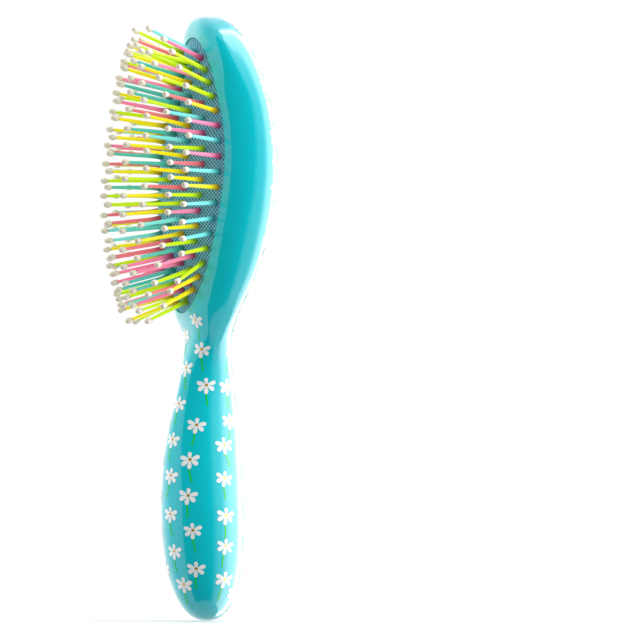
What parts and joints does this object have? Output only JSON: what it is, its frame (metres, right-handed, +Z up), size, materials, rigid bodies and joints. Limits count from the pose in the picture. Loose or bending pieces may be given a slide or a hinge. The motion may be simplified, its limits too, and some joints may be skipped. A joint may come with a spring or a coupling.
{
  "type": "hair brush",
  "caption": "Oval cushion hair brush with a one-piece lacquered body and tapered ball-tipped pins on a mesh-faced rubber air cushion that sinks when pressed.",
  "frame": {"origin": "on the handle's axis at its widest place, 41 mm above the handle's end, where the hand holds it", "axes": "+Z runs up the handle to the top of the head, the pins point towards -Y and the back of the head faces +Y"},
  "size_m": [0.0761, 0.0627, 0.228],
  "materials": {
    "lacquered_body": "turquoise gloss lacquer",
    "cushion_rubber": "moulded teal rubber",
    "nylon_pins": "satin nylon in yellow, lime, pink and teal",
    "mesh_cover": "knitted mesh laminated on the rubber",
    "painted_print": "printed flowers under clear lacquer"
  },
  "bodies": {
    "brush_body": {"handle_body": "lacquered_body", "cushion_bead": "cushion_rubber"},
    "section_01": {"pin_row_01": "nylon_pins"},
    "section_02": {"pin_row_02": "nylon_pins"},
    "section_03": {"pin_row_03": "nylon_pins"},
    "section_04": {"pin_row_04": "nylon_pins"},
    "section_05": {"pin_row_05": "nylon_pins"},
    "section_06": {"pin_row_06": "nylon_pins"},
    "section_07": {"pin_row_07": "nylon_pins"},
    "section_08": {"pin_row_08": "nylon_pins"},
    "section_09": {"pin_row_09": "nylon_pins"},
    "section_10": {"pin_row_10": "nylon_pins"},
    "section_11": {"pin_row_11": "nylon_pins"},
    "section_12": {"pin_row_12": "nylon_pins"},
    "section_13": {"pin_row_13": "nylon_pins"},
    "section_14": {"pin_row_14": "nylon_pins"},
    "section_15": {"pin_row_15": "nylon_pins"},
    "section_16": {"pin_row_16": "nylon_pins"},
    "section_17": {"pin_row_17": "nylon_pins"},
    "section_18": {"pin_row_18": "nylon_pins"}
  },
  "joints": [
    {"name": "cushion_press", "type": "slide", "parent": "brush_body", "child": "section_10", "axis": [0, 1, 0], "range_m": [0, 0.003], "stiffness_N_per_m": 1500},
    {"name": "row_01_press", "type": "slide", "parent": "brush_body", "child": "section_01", "axis": [0, 1, 0], "range_m": [0, 0.00055]},
    {"name": "row_02_press", "type": "slide", "parent": "brush_body", "child": "section_02", "axis": [0, 1, 0], "range_m": [0, 0.00113]},
    {"name": "row_03_press", "type": "slide", "parent": "brush_body", "child": "section_03", "axis": [0, 1, 0], "range_m": [0, 0.00155]},
    {"name": "row_04_press", "type": "slide", "parent": "brush_body", "child": "section_04", "axis": [0, 1, 0], "range_m": [0, 0.00193]},
    {"name": "row_05_press", "type": "slide", "parent": "brush_body", "child": "section_05", "axis": [0, 1, 0], "range_m": [0, 0.00227]},
    {"name": "row_06_press", "type": "slide", "parent": "brush_body", "child": "section_06", "axis": [0, 1, 0], "range_m": [0, 0.00255]},
    {"name": "row_07_press", "type": "slide", "parent": "brush_body", "child": "section_07", "axis": [0, 1, 0], "range_m": [0, 0.00277]},
    {"name": "row_08_press", "type": "slide", "parent": "brush_body", "child": "section_08", "axis": [0, 1, 0], "range_m": [0, 0.00292]},
    {"name": "row_09_press", "type": "slide", "parent": "brush_body", "child": "section_09", "axis": [0, 1, 0], "range_m": [0, 0.003]},
    {"name": "row_11_press", "type": "slide", "parent": "brush_body", "child": "section_11", "axis": [0, 1, 0], "range_m": [0, 0.00294]},
    {"name": "row_12_press", "type": "slide", "parent": "brush_body", "child": "section_12", "axis": [0, 1, 0], "range_m": [0, 0.00279]},
    {"name": "row_13_press", "type": "slide", "parent": "brush_body", "child": "section_13", "axis": [0, 1, 0], "range_m": [0, 0.00258]},
    {"name": "row_14_press", "type": "slide", "parent": "brush_body", "child": "section_14", "axis": [0, 1, 0], "range_m": [0, 0.0023]},
    {"name": "row_15_press", "type": "slide", "parent": "brush_body", "child": "section_15", "axis": [0, 1, 0], "range_m": [0, 0.00196]},
    {"name": "row_16_press", "type": "slide", "parent": "brush_body", "child": "section_16", "axis": [0, 1, 0], "range_m": [0, 0.00157]},
    {"name": "row_17_press", "type": "slide", "parent": "brush_body", "child": "section_17", "axis": [0, 1, 0], "range_m": [0, 0.00115]},
    {"name": "row_18_press", "type": "slide", "parent": "brush_body", "child": "section_18", "axis": [0, 1, 0], "range_m": [0, 0.00055]}
  ],
  "couplings": [
    {"joint": "row_01_press", "follows": "cushion_press", "ratio": 0.179},
    {"joint": "row_02_press", "follows": "cushion_press", "ratio": 0.374},
    {"joint": "row_03_press", "follows": "cushion_press", "ratio": 0.512},
    {"joint": "row_04_press", "follows": "cushion_press", "ratio": 0.639},
    {"joint": "row_05_press", "follows": "cushion_press", "ratio": 0.752},
    {"joint": "row_06_press", "follows": "cushion_press", "ratio": 0.847},
    {"joint": "row_07_press", "follows": "cushion_press", "ratio": 0.92},
    {"joint": "row_08_press", "follows": "cushion_press", "ratio": 0.971},
    {"joint": "row_09_press", "follows": "cushion_press", "ratio": 0.998},
    {"joint": "row_11_press", "follows": "cushion_press", "ratio": 0.976},
    {"joint": "row_12_press", "follows": "cushion_press", "ratio": 0.927},
    {"joint": "row_13_press", "follows": "cushion_press", "ratio": 0.856},
    {"joint": "row_14_press", "follows": "cushion_press", "ratio": 0.762},
    {"joint": "row_15_press", "follows": "cushion_press", "ratio": 0.649},
    {"joint": "row_16_press", "follows": "cushion_press", "ratio": 0.52},
    {"joint": "row_17_press", "follows": "cushion_press", "ratio": 0.379},
    {"joint": "row_18_press", "follows": "cushion_press", "ratio": 0.18}
  ]
}
